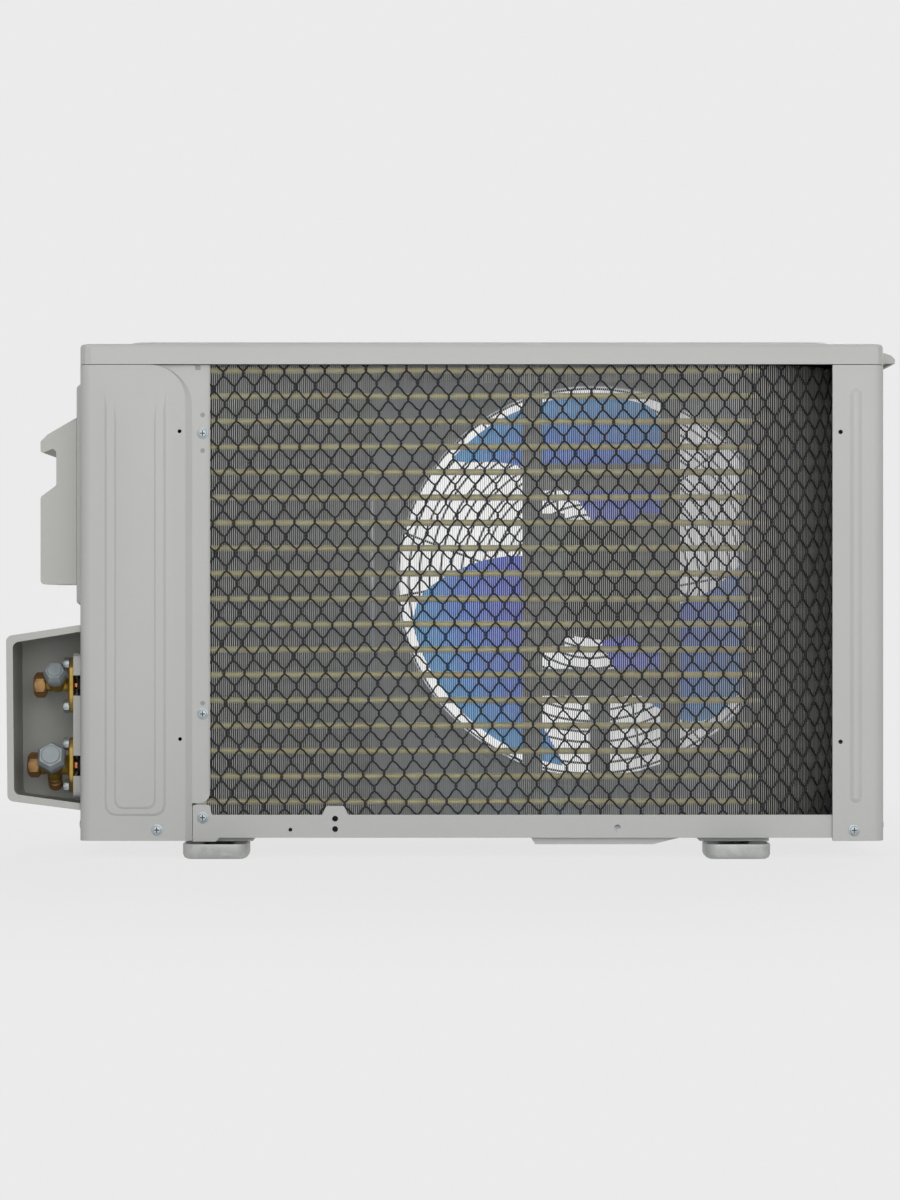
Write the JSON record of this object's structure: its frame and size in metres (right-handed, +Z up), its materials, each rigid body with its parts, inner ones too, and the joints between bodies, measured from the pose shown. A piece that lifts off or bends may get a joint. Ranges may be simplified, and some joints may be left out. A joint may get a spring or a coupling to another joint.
{
  "type": "air conditioner outdoor unit",
  "caption": "Outdoor unit of a wall-mounted split air conditioner seen from its coil side, with guard net, axial fan, service valves under an open hood and slotted feet.",
  "frame": {"origin": "centre of the four foot slots, on the floor plane under the feet", "axes": "+X along the cabinet from the valve side to the coil's bend, +Y the way the air is blown, +Z up"},
  "size_m": [0.7651, 0.312, 0.4377],
  "materials": {
    "cabinet_paint": "satin warm grey powder coat",
    "galvanised_steel": "galvanised sheet",
    "aluminium_fin": "thin mill-finish fins",
    "copper_tube": "copper tube, slightly tarnished",
    "brass_valve": "forged and turned brass",
    "plated_cap": "zinc-plated brass cap",
    "zinc_screw": "bright zinc plate",
    "black_plastic": "moulded black plastic",
    "blue_fan_plastic": "glossy blue moulding",
    "grey_plastic": "fine-grained grey moulding",
    "black_rubber": "matte rubber",
    "black_foam": "closed-cell foam",
    "black_paint": "gloss black enamel",
    "motor_paint": "dark motor case",
    "white_insulator": "cream insulator",
    "guard_wire": "dark coated wire"
  },
  "bodies": {
    "cabinet": {"foot_left": "galvanised_steel", "foot_right": "galvanised_steel", "base_pan": "cabinet_paint", "top_cover": "cabinet_paint", "valve_side_panel": "cabinet_paint", "coil_side_panel": "cabinet_paint", "front_panel": "cabinet_paint", "fan_guard": "guard_wire", "guard_net": "black_plastic", "coil_fins": "aluminium_fin", "coil_tubes": "copper_tube", "return_bends": "copper_tube", "coil_end_plates": "galvanised_steel", "fan_motor": "motor_paint", "motor_bracket": "galvanised_steel", "motor_screws": "zinc_screw", "partition_plate": "galvanised_steel", "compressor": "black_paint", "compressor_mounts": "black_rubber", "mount_studs": "zinc_screw", "accumulator": "black_paint", "terminal_cover": "black_plastic", "discharge_pipe": "copper_tube", "suction_pipe": "copper_tube", "liquid_pipe": "copper_tube", "strainer": "copper_tube", "capillary": "copper_tube", "valve_bracket": "cabinet_paint", "liquid_valve": "brass_valve", "gas_valve": "brass_valve", "valve_bolts": "zinc_screw", "pipe_sleeves": "black_foam", "valve_hood": "grey_plastic", "hood_screws": "zinc_screw", "access_plate": "cabinet_paint", "service_cover": "grey_plastic", "cover_screw": "zinc_screw", "terminal_block": "white_insulator", "terminal_screws": "zinc_screw", "cable_clamp": "black_plastic", "electrical_plate": "galvanised_steel", "run_capacitor": "black_plastic", "capacitor_strap": "galvanised_steel", "pull_handle": "grey_plastic", "panel_screws": "zinc_screw", "guard_screws": "zinc_screw"},
    "fan": {"fan": "blue_fan_plastic", "motor_shaft": "zinc_screw", "fan_nut": "zinc_screw"},
    "liquid_cap": {"liquid_cap": "plated_cap"},
    "gas_cap": {"gas_cap": "plated_cap"},
    "liquid_stem": {"liquid_stem": "brass_valve"},
    "gas_stem": {"gas_stem": "brass_valve"},
    "liquid_nut": {"liquid_nut": "brass_valve"},
    "gas_nut": {"gas_nut": "brass_valve"},
    "port_cap": {"port_cap": "brass_valve"},
    "port_core": {"port_core": "brass_valve"}
  },
  "joints": [
    {"name": "fan_spin", "type": "hinge", "parent": "cabinet", "child": "fan", "pos_m": [0.1075, 0, 0.23539], "axis": [0, 1, 0], "continuous": true},
    {"name": "liquid_cap_off", "type": "slide", "parent": "cabinet", "child": "liquid_cap", "axis": [0, -0.866, 0.5], "range_m": [0, 0.016]},
    {"name": "gas_cap_off", "type": "slide", "parent": "cabinet", "child": "gas_cap", "axis": [0, -0.9272, 0.3746], "range_m": [0, 0.016]},
    {"name": "liquid_stem_turn", "type": "hinge", "parent": "cabinet", "child": "liquid_stem", "pos_m": [-0.36156, -0.075, 0.14459], "axis": [0, -0.866, 0.5], "range_deg": [0, 1080]},
    {"name": "gas_stem_turn", "type": "hinge", "parent": "cabinet", "child": "gas_stem", "pos_m": [-0.36456, -0.075, 0.0756], "axis": [0, -0.9272, 0.3746], "range_deg": [0, 1080]},
    {"name": "liquid_nut_back", "type": "slide", "parent": "cabinet", "child": "liquid_nut", "axis": [-1, 0, 0], "range_m": [0, 0.0095]},
    {"name": "gas_nut_back", "type": "slide", "parent": "cabinet", "child": "gas_nut", "axis": [-1, 0, 0], "range_m": [0, 0.0085]},
    {"name": "port_cap_off", "type": "slide", "parent": "cabinet", "child": "port_cap", "axis": [0, 0.6691, -0.7431], "range_m": [0, 0.0105]},
    {"name": "port_core_press", "type": "slide", "parent": "cabinet", "child": "port_core", "axis": [0, -0.6691, 0.7431], "range_m": [0, 0.0015], "stiffness_N_per_m": 300, "springref_m": -0.002}
  ]
}
